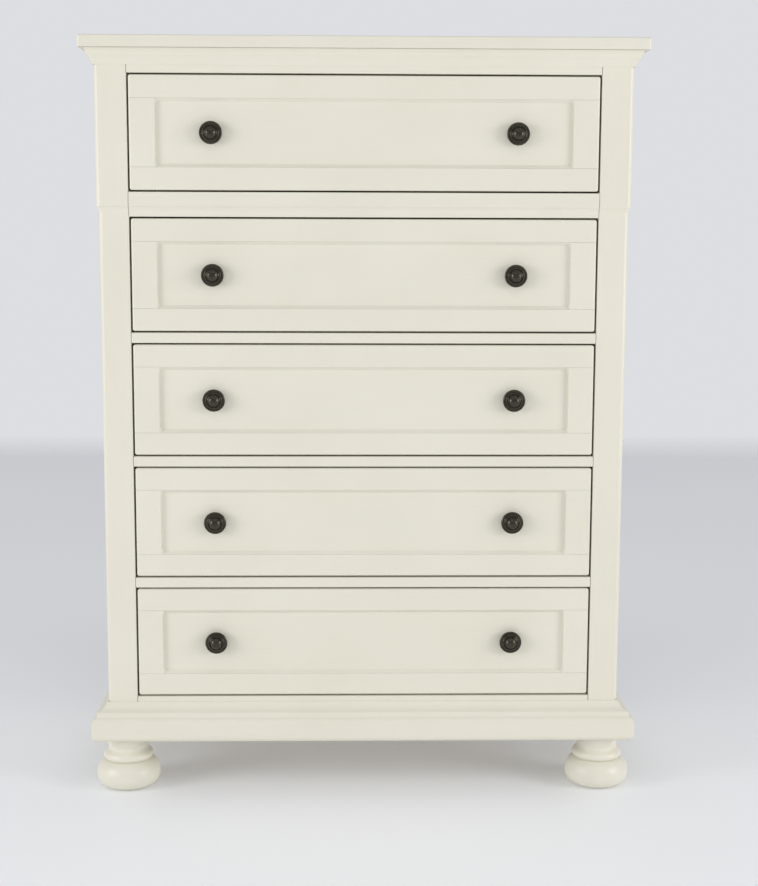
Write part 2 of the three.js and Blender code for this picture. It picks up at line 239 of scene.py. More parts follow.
def pressed_board():
    finish, nodes, links, shader = new_finish("pressed back board")
    fleck = streaks(nodes, links, (FLECK_SCALE,) * 3, detail=6.0)
    cloud = streaks(nodes, links, (BACK_CLOUD_SCALE,) * 3, detail=3.0)
    base = graded(nodes, links, cloud, [(NOISE_LOW, BACK_SHADE), (NOISE_HIGH, BACK_LIGHT)])
    share = spread(nodes, links, fleck, 0.0, FLECK_SHARE)
    flecked = mixed(nodes, links, share, base, BACK_FLECK)
    links.new(flecked, shader.inputs["Base Color"])
    shader.inputs["Roughness"].default_value = 0.72
    links.new(raised(nodes, links, fleck, 0.3, 0.0002), shader.inputs["Normal"])
    return finish


BACK_BOARD = pressed_board()
print("back", BACK_BOARD.name)


# %% [markdown]
# ### Metals
# The knobs are cast and then darkened, so they are nearly black with a brown warmth, and rubbed a
# little brighter on their rings. The slides are rolled steel with a dull zinc coat.

# %% Rubbed bronze and zinc-coated steel
METAL_SHARE, METAL_SPECULAR, RUBBED_SHARE = 0.7, 0.9, 0.35


def metal(name, dark, bright, rough, grain, edges):
    finish, nodes, links, shader = new_finish(name)
    shader.inputs["Metallic"].default_value = METAL_SHARE
    shader.inputs["Specular IOR Level"].default_value = METAL_SPECULAR
    patina = streaks(nodes, links, (grain,) * 3)
    body = mixed(nodes, links, spread(nodes, links, patina, 0.0, RUBBED_SHARE), dark, bright)
    edge = worn_edges(nodes, links, *edges)
    links.new(mixed(nodes, links, edge, body, bright), shader.inputs["Base Color"])
    links.new(spread(nodes, links, patina, rough - 0.05, rough + 0.1), shader.inputs["Roughness"])
    links.new(raised(nodes, links, patina, 0.12, 0.0001), shader.inputs["Normal"])
    return finish


BRONZE = metal("rubbed bronze", linear(46, 43, 31), linear(92, 88, 74), 0.2, 420.0, (0.5, 0.62))
ZINC = metal("zinc coated steel", linear(165, 168, 172), linear(205, 208, 212), 0.34, 300.0,
             (0.5, 0.6))
print("metals", BRONZE.name, ZINC.name)


# %% [markdown]
# ## Shop tools
# Three shapes make nearly everything here. A board is a block with its arrises rounded over. A
# moulding is an outline that is pushed along its length. A turning is an outline that is spun.
# Each tool works on a bmesh, and one last tool hands the finished piece to its place in the frame.

# %% Round over, hand over
def round_over(bm, geometry, radius, segments=3, affect="EDGES"):
    """Rounds edges, or the corners of an outline, to a radius."""
    return bmesh.ops.bevel(bm, geom=geometry, offset=radius, offset_type="OFFSET",
                           segments=segments, profile=0.5, affect=affect,
                           clamp_overlap=True, material=-1)


def hand_over(name, bm, finish, body, slot, *nodes, sharp=40):
    """Turns a bmesh into a piece that rides on its body and stands for its nodes."""
    bmesh.ops.remove_doubles(bm, verts=bm.verts, dist=WELD)
    bmesh.ops.recalc_face_normals(bm, faces=bm.faces)
    open_edges = sum(1 for edge in bm.edges if not edge.is_manifold)
    if open_edges:
        print("open edges on", name, open_edges)
    mesh = bpy.data.meshes.new(name)
    bm.to_mesh(mesh)
    bm.free()
    mesh.shade_smooth()
    mesh.set_sharp_from_angle(angle=math.radians(sharp))
    mesh.materials.append(finish)
    piece = bpy.data.objects.new(name, mesh)
    bpy.context.scene.collection.objects.link(piece)
    even = piece.modifiers.new("even shading", "WEIGHTED_NORMAL")
    even.keep_sharp = True
    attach(piece, body)
    if nodes:
        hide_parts(*nodes)
    return piece


print("hand tools ready")


# %% Boards
def board(low, high, arris=1.2 * MM, segments=3):
    """A planed board between two corners."""
    low, high = Vector(low), Vector(high)
    bm = bmesh.new()
    bmesh.ops.create_cube(bm, size=1)
    bmesh.ops.scale(bm, vec=high - low, verts=bm.verts)
    bmesh.ops.translate(bm, vec=(low + high) / 2, verts=bm.verts)
    round_over(bm, bm.edges[:], arris, segments)
    return bm


print("board tool ready")


# %% Mouldings
def cut_outline(points, radii=None):
    """A flat outline through the points. Each corner may be rounded to its own radius."""
    bm = bmesh.new()
    corners = [bm.verts.new(point) for point in points]
    bm.faces.new(corners)
    for radius in sorted(set(radii or []) - {0}):
        chosen = [corner for corner, r in zip(corners, radii) if r == radius]
        round_over(bm, chosen, radius * MM, 4, "VERTICES")
    return bm


def push(bm, faces, offset, again=False):
    """Extrudes faces by an offset. A second push from the same end takes the old end away."""
    made = bmesh.ops.extrude_face_region(bm, geom=faces)["geom"]
    if again:
        bmesh.ops.delete(bm, geom=faces, context="FACES_ONLY")
    moved = [part for part in made if isinstance(part, bmesh.types.BMVert)]
    bmesh.ops.translate(bm, vec=offset, verts=moved)
    return moved, [part for part in made if isinstance(part, bmesh.types.BMFace)]


def saw(bm, point, normal):
    """Saws off what lies on the side that the normal points to, and closes the cut."""
    everything = bm.verts[:] + bm.edges[:] + bm.faces[:]
    bmesh.ops.bisect_plane(bm, geom=everything, dist=WELD, plane_co=point, plane_no=normal,
                           clear_outer=True, clear_inner=False)
    bmesh.ops.holes_fill(bm, edges=[e for e in bm.edges if e.is_boundary], sides=0)


def bend(start, pull, end, steps=7):
    """Points on a curve that leaves start towards pull and arrives at end."""
    start, pull, end = Vector(start), Vector(pull), Vector(end)
    shares = [(i + 1) / steps for i in range(steps)]
    return [tuple(start * (1 - t) ** 2 + pull * 2 * t * (1 - t) + end * t * t) for t in shares]


print("moulding tools ready")


# %% Turnings
def turning(points, place, segments=64, bm=None):
    """Spins an outline of (radius, height) round its axis and sets it at a place."""
    bm = bm or bmesh.new()
    verts = [bm.verts.new((radius * MM, 0, height * MM)) for radius, height in points]
    edges = [bm.edges.new(pair) for pair in zip(verts, verts[1:])]
    bmesh.ops.spin(bm, geom=verts + edges, cent=(0, 0, 0), axis=(0, 0, 1), dvec=(0, 0, 0),
                   angle=2 * math.pi, steps=segments, use_merge=True, use_duplicate=False)
    fresh = set(verts)
    walk = list(verts)
    while walk:
        for edge in walk.pop().link_edges:
            for vert in edge.verts:
                if vert not in fresh:
                    fresh.add(vert)
                    walk.append(vert)
    bmesh.ops.remove_doubles(bm, verts=list(fresh), dist=SEAM_WELD)
    bmesh.ops.transform(bm, matrix=place, verts=[v for v in fresh if v.is_valid])
    return bm


def flowing(points, steps=4):
    """A smooth line through points, for the round parts of a turning."""
    ends = [points[0], *points, points[-1]]
    made = [points[0]]
    for before, start, end, after in zip(ends, ends[1:], ends[2:], ends[3:]):
        for step in range(1, steps + 1):
            t = step / steps
            made.append(tuple(
                0.5 * (2 * b + (c - a) * t + (2 * a - 5 * b + 4 * c - d) * t * t
                       + (3 * b - a - 3 * c + d) * t ** 3)
                for a, b, c, d in zip(before, start, end, after)))
    return made


print("turning tools ready")


# %% [markdown]
# ## The top
# The top is one flat board. Its plan corners are barely rounded, and its upper arris is rounded
# more than the lower one. A cube with three separate bevels gives that: first the four upright
# corners, then the loop round the upper face, then the loop round the lower one.

# %% Top board
slab_low, slab_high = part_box("top_panel")
TOP_CORNER, TOP_ARRIS, TOP_UNDER_ARRIS = 4.8 * MM, 2.6 * MM, 0.6 * MM


def is_upright(edge):
    first, second = edge.verts
    return abs(first.co.z - second.co.z) > LEVEL_SLACK


def top_board():
    bm = bmesh.new()
    bmesh.ops.create_cube(bm, size=1)
    bmesh.ops.scale(bm, vec=slab_high - slab_low, verts=bm.verts)
    bmesh.ops.translate(bm, vec=(slab_low + slab_high) / 2, verts=bm.verts)
    round_over(bm, [e for e in bm.edges if is_upright(e)], TOP_CORNER, 6)
    for level, radius in ((slab_high.z, TOP_ARRIS), (slab_low.z, TOP_UNDER_ARRIS)):
        rim = [e for e in bm.edges if all(abs(v.co.z - level) < LEVEL_SLACK for v in e.verts)]
        round_over(bm, rim, radius, 4)
    return bm


top = hand_over("top_board", top_board(), PAINT["x"], "carcass", "paint", "top_panel")
print("top board", [round(v, 4) for v in top.dimensions])


# %% [markdown]
# ## Posts
# Each corner post is one length of wood. Above the waist it stands a few millimetres prouder than
# below, with a small hollow between the two. The plan outline is pushed upwards in stages, and at
# each stage of the hollow it grows about its inner back corner, which stays where it is.

# %% Corner posts
POST_IN, POST_OUT = 404.3, 456.5
FACE_LOW, POST_BACK = -200.0, -155.0
STEP_SIDE, STEP_FRONT = 3.5, 6.0
HOLLOW = [(1030, 0.0), (1032, 0.05), (1034, 0.18), (1036, 0.35), (1038, 0.55), (1039.6, 0.75),
          (1041, 1.0)]
POST_TOP = 1304.7
POST_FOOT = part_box("post_front_left")[0].z / MM
FRONT_POST_CORNERS = [0.8, 0.8, 8, 1.8]
REAR_POST_CORNERS = [1.0, 3.0, 0.8, 0.8]


def post(side, front, back, radii, grow_front):
    points = [(POST_IN, back), (POST_OUT, back), (POST_OUT, front), (POST_IN, front)]
    flat = [(side * x * MM, y * MM, POST_FOOT * MM) for x, y in points]
    bm = cut_outline(flat, radii)
    pivot = Matrix.Translation((-side * POST_IN * MM, -back * MM, 0))
    width, depth = POST_OUT - POST_IN, abs(back - front)
    faces, height, share = bm.faces[:], POST_FOOT, 0.0
    for level, grown in HOLLOW + [(POST_TOP, 1.0)]:
        rise = (0, 0, (level - height) * MM)
        moved, faces = push(bm, faces, rise, again=height > POST_FOOT)
        change = Vector((
            (width + STEP_SIDE * grown) / (width + STEP_SIDE * share),
            (depth + grow_front * grown) / (depth + grow_front * share),
            1,
        ))
        bmesh.ops.scale(bm, vec=change, space=pivot, verts=moved)
        height, share = level, grown
    return bm


for word, side in SIDES.items():
    front_post = post(side, FACE_LOW, POST_BACK, FRONT_POST_CORNERS, STEP_FRONT)
    hand_over(f"front_post_{word}", front_post, PAINT["z"], "carcass", "paint",
              f"post_front_{word}")
    low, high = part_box(f"post_rear_{word}")
    rear_post = post(side, low.y / MM, high.y / MM, REAR_POST_CORNERS, 0.0)
    piece = hand_over(f"rear_post_{word}", rear_post, PAINT["z"], "carcass", "paint",
                      f"post_rear_{word}")
    print("posts", word, [round(v, 4) for v in piece.dimensions])


# %% [markdown]
# ## Rails across the front
# A rail above the top drawer, a waist rail and three thin dividers run between the posts. Their
# arrises are rounded by sanding, which is why each gap round a drawer has a bright line beside it.
# The waist rail carries the same hollow as the posts, so it is an outline pushed along X.

# %% Top rail and dividers
RAIL_ARRIS = 1.7

for node in ("top_rail", "divider_rail_1", "divider_rail_2", "divider_rail_3"):
    low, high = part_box(node)
    hand_over(f"{node}_planed", board(low, high, RAIL_ARRIS * MM, 4), PAINT["x"],
              "carcass", "paint", node)
    print(node, "from", round(low.z, 4), "to", round(high.z, 4))


# %% Waist rail
waist_low, waist_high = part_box("waist_rail")


def waist_rail():
    front = [(FACE_LOW - STEP_FRONT * grown, level) for level, grown in HOLLOW]
    points = [(POST_BACK, waist_high.z / MM), (POST_BACK, waist_low.z / MM),
              (FACE_LOW, waist_low.z / MM), *front, (FACE_LOW - STEP_FRONT, waist_high.z / MM)]
    radii = [1, 1, RAIL_ARRIS] + [0] * len(front) + [RAIL_ARRIS]
    bm = cut_outline([(waist_low.x, y * MM, z * MM) for y, z in points], radii)
    push(bm, bm.faces[:], (waist_high.x - waist_low.x, 0, 0))
    return bm


hand_over("waist_rail_moulded", waist_rail(), PAINT["x"], "carcass", "paint", "waist_rail")
print("waist rail", round(waist_low.z, 4), round(waist_high.z, 4))


# %% [markdown]
# ## Bottom rail, bottom board and back
# The bottom board butts against the back of a front rail. One node stands for both, so two
# pieces replace it. The back is a thin sheet held by a row of panel pins along each edge.

# %% Bottom rail and bottom board
base_low, base_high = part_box("bottom_board")
RAIL_BACK, BOARD_UNDER, BOARD_TOP = -178.0 * MM, 148.0 * MM, 160.0 * MM
rail = board(base_low, (base_high.x, RAIL_BACK, base_high.z), RAIL_ARRIS * MM, 4)
hand_over("bottom_rail", rail, PAINT["x"], "carcass", "paint", "bottom_board")
floor_board = board((base_low.x, RAIL_BACK, BOARD_UNDER), (base_high.x, base_high.y, BOARD_TOP), MM)
hand_over("bottom_board_sheet", floor_board, CASE_BOARD, "carcass", "carcass_board", "bottom_board")
print("bottom board", round(base_high.y - base_low.y, 4), "deep")


# %% Back sheet and its pins
back_low, back_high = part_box("back_panel")
PIN_INSET, PIN_SPACING = 9 * MM, 115 * MM
PIN_OUTLINE = [(0, -0.4), (2.2, -0.4), (2.2, 0.2), (1.5, 0.6), (0, 0.7)]
hand_over("back_sheet", board(back_low, back_high, 0.6 * MM, 2), BACK_BOARD, "carcass",
          "back_board", "back_panel")


def spaced(start, end, about):
    count = max(1, round((end - start) / about))
    return [start + (end - start) * i / count for i in range(count + 1)]


def panel_pins():
    columns = spaced(back_low.x + PIN_INSET, back_high.x - PIN_INSET, PIN_SPACING)
    rows = spaced(back_low.z + PIN_INSET, back_high.z - PIN_INSET, PIN_SPACING)
    spots = {(x, z) for x in columns for z in (rows[0], rows[-1])}
    spots |= {(x, z) for z in rows for x in (columns[0], columns[-1])}
    bm = bmesh.new()
    for x, z in sorted(spots):
        face_back = Matrix.Translation((x, back_high.y, z)) @ Matrix.Rotation(-math.pi / 2, 4, "X")
        turning(PIN_OUTLINE, face_back, 10, bm)
    return bm, len(spots)


pins, pin_count = panel_pins()
hand_over("back_pins", pins, ZINC, "carcass", "slide_steel")
print("panel pins", pin_count)


# %% [markdown]
# ## Sides
# Each side is a frame between the two posts, with a long panel below the waist and a short one
# above it. The rails slope down to the sunk panels. Each rail is an outline of how far it stands
# out and how high it is, pushed from the front post to the back post.

# %% Side rails and panels
CASE_FACE, RAIL_INNER, SINK = 456.5, -22.0, -8.0
FULL_STEP = [(STEP_SIDE * grown, level) for level, grown in HOLLOW]
SLOPE = 6
BOTTOM_RAIL_TOP, WAIST_RAIL_FOOT, WAIST_RAIL_TOP, TOP_RAIL_FOOT = 226, 990, 1088, 1232
SIDE_RAILS = {
    "bottom": [(RAIL_INNER, POST_FOOT), (0, POST_FOOT), (0, BOTTOM_RAIL_TOP),
               (SINK, BOTTOM_RAIL_TOP + SLOPE), (RAIL_INNER, BOTTOM_RAIL_TOP + SLOPE)],
    "waist": [(RAIL_INNER, WAIST_RAIL_FOOT - SLOPE), (SINK, WAIST_RAIL_FOOT - SLOPE),
              (0, WAIST_RAIL_FOOT), *FULL_STEP, (STEP_SIDE, WAIST_RAIL_TOP),
              (STEP_SIDE + SINK, WAIST_RAIL_TOP + SLOPE), (RAIL_INNER, WAIST_RAIL_TOP + SLOPE)],
    "top": [(RAIL_INNER, TOP_RAIL_FOOT - SLOPE), (STEP_SIDE + SINK, TOP_RAIL_FOOT - SLOPE),
            (STEP_SIDE, TOP_RAIL_FOOT), (STEP_SIDE, POST_TOP), (RAIL_INNER, POST_TOP)],
}
SIDE_ARRIS, STEP_ARRIS = 1.4, 0.5
ROUNDED = {(0, BOTTOM_RAIL_TOP): SIDE_ARRIS, (0, WAIST_RAIL_FOOT): SIDE_ARRIS,
           (STEP_SIDE, WAIST_RAIL_TOP): SIDE_ARRIS, (STEP_SIDE, TOP_RAIL_FOOT): SIDE_ARRIS,
           (STEP_SIDE, HOLLOW[-1][0]): STEP_ARRIS}
PANEL_OVERLAP, SIDE_SHEET = 2, 9
SIDE_PANELS = {
    "lower": (BOTTOM_RAIL_TOP + SLOPE - PANEL_OVERLAP,
              WAIST_RAIL_FOOT - SLOPE + PANEL_OVERLAP, SINK),
    "upper": (WAIST_RAIL_TOP + SLOPE - PANEL_OVERLAP,
              TOP_RAIL_FOOT - SLOPE + PANEL_OVERLAP, SINK + STEP_SIDE),
}

for word, side in SIDES.items():
    low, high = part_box(f"side_panel_{word}")
    for part, points in SIDE_RAILS.items():
        placed = [(side * (CASE_FACE + out) * MM, low.y, z * MM) for out, z in points]
        bm = cut_outline(placed, [ROUNDED.get(point, 0) for point in points])
        push(bm, bm.faces[:], (0, high.y - low.y, 0))
        hand_over(f"side_{part}_rail_{word}", bm, PAINT["y"], "carcass", "paint",
                  f"side_panel_{word}")
    for part, (foot, head, out) in SIDE_PANELS.items():
        face = side * (CASE_FACE + out) * MM
        inner = side * (CASE_FACE + out - SIDE_SHEET) * MM
        sheet = board((min(face, inner), low.y, foot * MM), (max(face, inner), high.y, head * MM),
                      0.5 * MM, 2)
        hand_over(f"side_{part}_panel_{word}", sheet, PAINT["z"], "carcass", "paint",
                  f"side_panel_{word}")
    print("side", word, "depth between posts", round(high.y - low.y, 4))


# %% [markdown]
# ## Mouldings
# The crown and the base are three lengths each, mitred at the front corners. One outline serves
# the front and both sides: it is pushed past the corner and sawn at 45 degrees. A hair of space is
# left at each mitre, because on a real chest that joint always shows as a thin line.

# %% Crown and base mouldings
MITRE_GAP = 0.12 * MM
CROWN_OUTLINE = [(-0.2, 1277.5), (0.8, 1277.7), *bend((0.8, 1277.7), (4.2, 1287), (8.4, 1292.2)),
                 *bend((8.4, 1292.2), (9.6, 1293.7), (10.3, 1295.6), 4), (13.5, 1304.7),
                 (-0.2, 1304.7)]
BASE_OUTLINE = [(-0.2, 95.5), (18, 95.5), *bend((18, 95.5), (27.7, 97), (27.7, 107.5)),
                *bend((27.7, 124.5), (27.7, 136), (20.6, 139.1), 9),
                *bend((20.6, 139.1), (19.2, 139.9), (19.0, 142), 4),
                *bend((18.6, 145.5), (18.4, 147.7), (16.2, 148.7), 4),
                *bend((16.2, 148.7), (5.6, 152.5), (2.4, 162.8), 9), (0.6, 164), (-0.2, 164)]
REACH = 60.0


def front_length(outline, half_width, face):
    start = -(half_width + REACH) * MM
    bm = cut_outline([(start, (face - out) * MM, z * MM) for out, z in outline])
    push(bm, bm.faces[:], (-2 * start, 0, 0))
    for side in SIDES.values():
        corner = Vector((side * half_width * MM, face * MM, 0))
        normal = Vector((side, 1, 0)).normalized()
        saw(bm, corner - normal * MITRE_GAP, normal)
    return bm


def side_length(outline, half_width, face, side, back):
    start = (face - REACH) * MM
    bm = cut_outline([(side * (half_width + out) * MM, start, z * MM) for out, z in outline])
    push(bm, bm.faces[:], (0, back - start, 0))
    corner = Vector((side * half_width * MM, face * MM, 0))
    normal = -Vector((side, 1, 0)).normalized()
    saw(bm, corner - normal * MITRE_GAP, normal)
    return bm


MOULDINGS = {
    "crown_moulding": (CROWN_OUTLINE, CASE_FACE + STEP_SIDE, FACE_LOW - STEP_FRONT),
    "base_moulding": (BASE_OUTLINE, CASE_FACE, FACE_LOW),
}
for node, (outline, half_width, face) in MOULDINGS.items():
    low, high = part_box(node)
    length = front_length(outline, half_width, face)
    hand_over(f"{node}_front", length, PAINT["x"], "carcass", "paint", node, sharp=60)
    for word, side in SIDES.items():
        length = side_length(outline, half_width, face, side, high.y)
        hand_over(f"{node}_{word}", length, PAINT["y"], "carcass", "paint", node, sharp=60)
    print(node, "width", round(high.x - low.x, 4))


# %% [markdown]
# ## Feet
# A bun foot is turned on a lathe: a flat collar, a hollow, a small bead, a crease, and then the
# round bun. The round parts are smooth lines through a few points, and the crease and the
# shoulders stay sharp because each smooth line stops there and the next one starts.

# %% Turned feet
BUN = flowing([(29, 0), (42, 3), (51, 9), (56, 17), (57.2, 26), (56, 35), (51.5, 44),
               (45.5, 49.8), (40, 52)])
BEAD = flowing([(40.2, 52.3), (43.6, 54.8), (44.6, 59), (42.8, 64), (38.6, 68)])
HOLLOW_NECK = flowing([(38.2, 68.4), (36, 71), (35.5, 74), (35.8, 77), (37.3, 80.4)])
COLLAR = [(37.5, 81), (37.5, 94.7), (37, 95.2), (0, 95.2)]
FOOT_OUTLINE = [(0, 0), *BUN, *BEAD, *HOLLOW_NECK, *COLLAR]
for end in ("front", "rear"):
    for word in SIDES:
        low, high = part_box(f"foot_{end}_{word}")
        axis = Matrix.Translation(((low.x + high.x) / 2, (low.y + high.y) / 2, low.z))
        foot = hand_over(f"bun_foot_{end}_{word}", turning(FOOT_OUTLINE, axis), PAINT["z"],
                         "carcass", "paint", f"foot_{end}_{word}", sharp=50)
        print("foot", end, word, [round(v, 4) for v in foot.dimensions])


# %% [markdown]
# ## Drawer fronts
# A drawer front is a frame round a sunk panel. The two rails run the full width and the stiles fit
# between them, so a fine joint line shows at each end of a stile. The frame starts as two rounded
# hoops that are bridged, pushed back and rounded over. Four saw cuts then part it into its four
# lengths. A sloped bead lines the opening, and the panel closes it from behind.

# %% A hoop, and the whole frame
RAIL_HEIGHT, STILE_WIDTH = 39 * MM, 43.5 * MM
FRONT_CORNER, OPENING_CORNER = 4 * MM, 5 * MM
FACE_ARRIS, OPENING_ARRIS = 3.4 * MM, 0.6 * MM
JOINT = 0.14 * MM
PANEL_SINK = 6.5 * MM
BEAD_ACROSS, BEAD_UP, BEAD_THICK = 1.4 * MM, 5.4 * MM, 3 * MM
PANEL_GAP, PANEL_THICK = 0.5 * MM, 7 * MM


def hoop(bm, low, high, radius, depth):
    """A rectangle of wire with rounded corners, standing at a depth. Gives back its edges."""
    earlier = set(bm.edges)
    spots = ((low[0], low[1]), (high[0], low[1]), (high[0], high[1]), (low[0], high[1]))
    corners = [bm.verts.new((x, depth, z)) for x, z in spots]
    for pair in zip(corners, corners[1:] + corners[:1]):
        bm.edges.new(pair)
    round_over(bm, corners, radius, 6, "VERTICES")
    return [edge for edge in bm.edges if edge not in earlier]


def opening_of(low, high, across=0.0, up=0.0):
    return ((low.x + STILE_WIDTH + across, low.z + RAIL_HEIGHT + up),
            (high.x - STILE_WIDTH - across, high.z - RAIL_HEIGHT - up))


def whole_frame(low, high):
    bm = bmesh.new()
    outer = hoop(bm, (low.x, low.z), (high.x, high.z), FRONT_CORNER, low.y)
    inner = hoop(bm, *opening_of(low, high), OPENING_CORNER, low.y)
    bmesh.ops.bridge_loops(bm, edges=outer + inner)
    rims = {True: [e.verts[:] for e in outer], False: [e.verts[:] for e in inner]}
    push(bm, bm.faces[:], (0, high.y - low.y, 0))
    for is_outer, radius in ((True, FACE_ARRIS), (False, OPENING_ARRIS)):
        pairs = {frozenset(pair) for pair in rims[is_outer]}
        rim = [e for e in bm.edges if frozenset(e.verts) in pairs]
        round_over(bm, rim, radius, 4)
    bmesh.ops.recalc_face_normals(bm, faces=bm.faces)
    return bm


print("front tools ready")


# %% Rails and stiles sawn from the frame
def sawn(low, high, cuts):
    bm = whole_frame(low, high)
    for point, normal in cuts:
        saw(bm, Vector(point), Vector(normal))
    return bm


def frame_lengths(low, high):
    (_, foot), (_, head) = opening_of(low, high)
    between = [((0, 0, foot + JOINT), (0, 0, -1)), ((0, 0, head - JOINT), (0, 0, 1))]
    return {
        "top_rail": (sawn(low, high, [((0, 0, head + JOINT), (0, 0, -1))]), "x"),
        "bottom_rail": (sawn(low, high, [((0, 0, foot - JOINT), (0, 0, 1))]), "x"),
        "left_stile": (sawn(low, high, between + [((0, 0, 0), (1, 0, 0))]), "z"),
        "right_stile": (sawn(low, high, between + [((0, 0, 0), (-1, 0, 0))]), "z"),
    }


def bead(low, high):
    """The sloped lining of the opening: three hoops joined in a ring."""
    bm = bmesh.new()
    mouth = hoop(bm, *opening_of(low, high), OPENING_CORNER, low.y + OPENING_ARRIS)
    lip = hoop(bm, *opening_of(low, high, BEAD_ACROSS, BEAD_UP), OPENING_CORNER,
               low.y + PANEL_SINK)
    back = hoop(bm, *opening_of(low, high), OPENING_CORNER,
                low.y + PANEL_SINK + BEAD_THICK)
    for first, second in ((mouth, lip), (lip, back), (back, mouth)):
        bmesh.ops.bridge_loops(bm, edges=first + second)
    return bm


def panel(low, high):
    (left, foot), (right, head) = opening_of(low, high, PANEL_GAP, PANEL_GAP)
    front = low.y + PANEL_SINK
    return board((left, front, foot), (right, front + PANEL_THICK, head), 0.4 * MM, 2)


print("joint gap", round(2 * JOINT, 5))


# %% [markdown]
# ## Drawer boxes, knobs and slides
# Behind each front is a box of thin boards: two sides, a back and an inner front, with a bottom
# set between them. The edges are rounded so that hands and clothes don't catch. The knobs are
# turnings with their axis towards the viewer, each held by a screw from inside the drawer.

# %% Drawer box
BOX_WALL, BOX_FLOOR, BOX_FLOOR_LIFT = 12 * MM, 5 * MM, 12 * MM
WALL_JOINT = 0.1 * MM
SIDE_EDGE, END_EDGE, FLOOR_EDGE = 2.4 * MM, 2 * MM, 0.4 * MM


def box_boards(low, high):
    inner_low, inner_high = low.x + BOX_WALL, high.x - BOX_WALL
    under = low.z + BOX_FLOOR_LIFT
    span = (inner_low + WALL_JOINT, inner_high - WALL_JOINT)
    return {
        "left_side": (low, (inner_low, high.y, high.z), "y", SIDE_EDGE),
        "right_side": ((inner_high, low.y, low.z), high, "y", SIDE_EDGE),
        "inner_front": ((span[0], low.y, low.z), (span[1], low.y + BOX_WALL, high.z), "x",
                        END_EDGE),
        "back": ((span[0], high.y - BOX_WALL, low.z), (span[1], high.y, high.z), "x", END_EDGE),
        "bottom": ((span[0], low.y + BOX_WALL, under),
                   (span[1], high.y - BOX_WALL, under + BOX_FLOOR), "x", FLOOR_EDGE),
    }


print("box wall", BOX_WALL)


# %% Knob, screws and slide channels
KNOB_OUTLINE = [
    (0, 0), (8.6, 0), (9, 0.4), (9, 1.6), *flowing([(8.6, 2.2), (6.4, 4), (6.2, 6), (7.4, 7.6),
                                                    (11, 9), (18.2, 10.3)]),
    *flowing([(19, 10.7), (19.6, 11.6), (19.4, 12.6), (18.4, 13.5)]),
    *flowing([(17.4, 13.2), (15.9, 12.7), (14.6, 13)]),
    *flowing([(14.2, 13.6), (14.3, 14.8), (13.4, 15.6), (12.2, 15.5)]),
    (11.3, 14.9), *flowing([(10.6, 15.3), (10.3, 17.4), (9.2, 20.4), (6.2, 22.9), (3, 23.8),
                            (0, 24)]),
]
SCREW_OUTLINE = [(0, -1), (4.2, -1), (4.2, 0.4), *flowing([(4.0, 0.9), (2.8, 1.9), (0, 2.3)])]
FACING_FRONT = Matrix.Rotation(math.pi / 2, 4, "X")
FACING_BACK = Matrix.Rotation(-math.pi / 2, 4, "X")
SHEET, SHEET_BEND = 1.3, 1.2
CASE_CHANNEL = {"height": 45, "depth": 9.5, "lip": 2.2}
BOX_CHANNEL = {"height": 27, "depth": 8.5, "lip": 0}


def channel(web, side, start, end, height, depth, lip):
    """A rolled channel, open towards `side`, from start to end along Y."""
    half, inner, mouth = height / 2, height / 2 - SHEET, depth - SHEET
    points = [(0, -half), (depth, -half), (depth, lip - inner), (mouth, lip - inner),
              (mouth, -inner), (SHEET, -inner), (SHEET, inner), (mouth, inner),
              (mouth, inner - lip), (depth, inner - lip), (depth, half), (0, half)]
    if not lip:
        points = [point for point in points if point[0] != mouth]
    radii = [SHEET_BEND if abs(z) == half else 0 for out, z in points]
    placed = [(web[0] + side * out * MM, start, web[1] + z * MM) for out, z in points]
    bm = cut_outline(placed, radii)
    push(bm, bm.faces[:], (0, end - start, 0))
    return bm


print("knob outline points", len(KNOB_OUTLINE))


# %% Build all five drawers
def build_drawer(number):
    body = f"drawer_{number}"
    low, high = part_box(f"{body}_front")
    for part, (bm, axis) in frame_lengths(low, high).items():
        hand_over(f"{body}_{part}", bm, PAINT[axis], body, "paint", f"{body}_front")
    hand_over(f"{body}_bead", bead(low, high), PAINT["x"], body, "paint", f"{body}_front")
    hand_over(f"{body}_panel", panel(low, high), PAINT["x"], body, "paint", f"{body}_front")
    box_low, box_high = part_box(f"{body}_box")
    for part, (start, end, axis, arris) in box_boards(box_low, box_high).items():
        hand_over(f"{body}_{part}", board(start, end, arris), DRAWER_WOOD[axis], body,
                  "drawer_wood", f"{body}_box")
    for word in SIDES:
        knob_low, knob_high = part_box(f"{body}_knob_{word}")
        axis_x, axis_z = (knob_low.x + knob_high.x) / 2, (knob_low.z + knob_high.z) / 2
        place = Matrix.Translation((axis_x, knob_high.y, axis_z)) @ FACING_FRONT
        hand_over(f"{body}_ringed_knob_{word}", turning(KNOB_OUTLINE, place), BRONZE, body,
                  "knob_bronze", f"{body}_knob_{word}", sharp=50)
        inside = Matrix.Translation((axis_x, box_low.y + BOX_WALL, axis_z)) @ FACING_BACK
        hand_over(f"{body}_knob_screw_{word}", turning(SCREW_OUTLINE, inside, 20), ZINC, body,
                  "slide_steel")
    return low, high


for number in DRAWERS:
    low, high = build_drawer(number)
    print("drawer", number, "front", [round(v, 4) for v in high - low])


